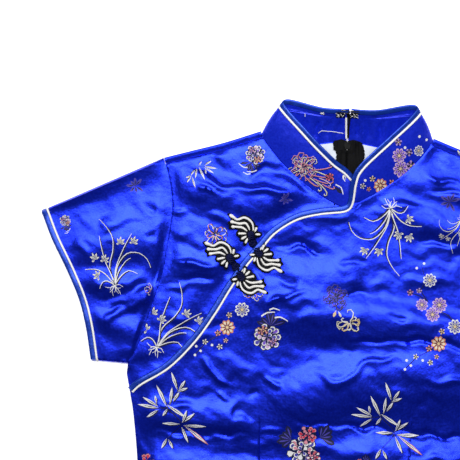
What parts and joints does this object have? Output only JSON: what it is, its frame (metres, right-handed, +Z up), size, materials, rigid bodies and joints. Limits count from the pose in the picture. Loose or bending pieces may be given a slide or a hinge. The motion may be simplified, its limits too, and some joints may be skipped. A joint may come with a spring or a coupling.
{
  "type": "mandarin collar brocade top",
  "caption": "Short-sleeved top in satin brocade with a mandarin collar, a curved side placket with frog fastenings and a back zip, laid flat.",
  "frame": {"origin": "on the table under the centre of the garment's outline", "axes": "+X to the wearer's left, +Y towards the neck, +Z up from the table"},
  "size_m": [0.636, 0.6354, 0.0252],
  "materials": {
    "brocade": "royal blue satin brocade",
    "binding": "blue satin bias strip",
    "piping": "cream satin cord",
    "lining": "white lining",
    "zip_tape": "black woven tape",
    "zip_coil": "black nylon coil",
    "zip_metal": "black enamel",
    "wire": "bright wire",
    "frog_ribbon": "black satin ribbon",
    "frog_stripe": "white satin stripe",
    "frog_knot": "dark blue satin cord"
  },
  "bodies": {
    "garment": {"back_left": "brocade", "back_right": "brocade", "front_main": "brocade", "front_shoulder_right": "brocade", "sleeve_left": "brocade", "sleeve_right": "brocade", "collar_left": "brocade", "collar_right": "brocade", "collar_binding_left": "binding", "collar_binding_right": "binding", "cuff_binding_left": "binding", "cuff_binding_right": "binding", "placket_binding": "binding", "collar_piping_left": "piping", "collar_piping_right": "piping", "cuff_piping_left": "piping", "cuff_piping_right": "piping", "placket_piping": "piping", "lining_left": "lining", "lining_right": "lining", "zip_tape_left": "zip_tape", "zip_tape_right": "zip_tape", "zip_chain": "zip_coil", "zip_slider": "zip_metal", "hook": "wire", "eye": "wire", "frog_wing_upper_right": "frog_ribbon", "frog_wing_lower_right": "frog_ribbon", "frog_wing_upper_left": "frog_ribbon", "frog_wing_lower_left": "frog_ribbon", "frog_stripes_upper_right": "frog_stripe", "frog_stripes_lower_right": "frog_stripe", "frog_stripes_upper_left": "frog_stripe", "frog_stripes_lower_left": "frog_stripe", "frog_knot_upper": "frog_knot", "frog_knot_lower": "frog_knot"},
    "pull": {"zip_pull": "zip_metal"}
  },
  "joints": [
    {"name": "pull_swing", "type": "hinge", "parent": "garment", "child": "pull", "pos_m": [0, 0.2733, 0.0011], "axis": [1, 0, 0], "range_deg": [0, 170]}
  ]
}
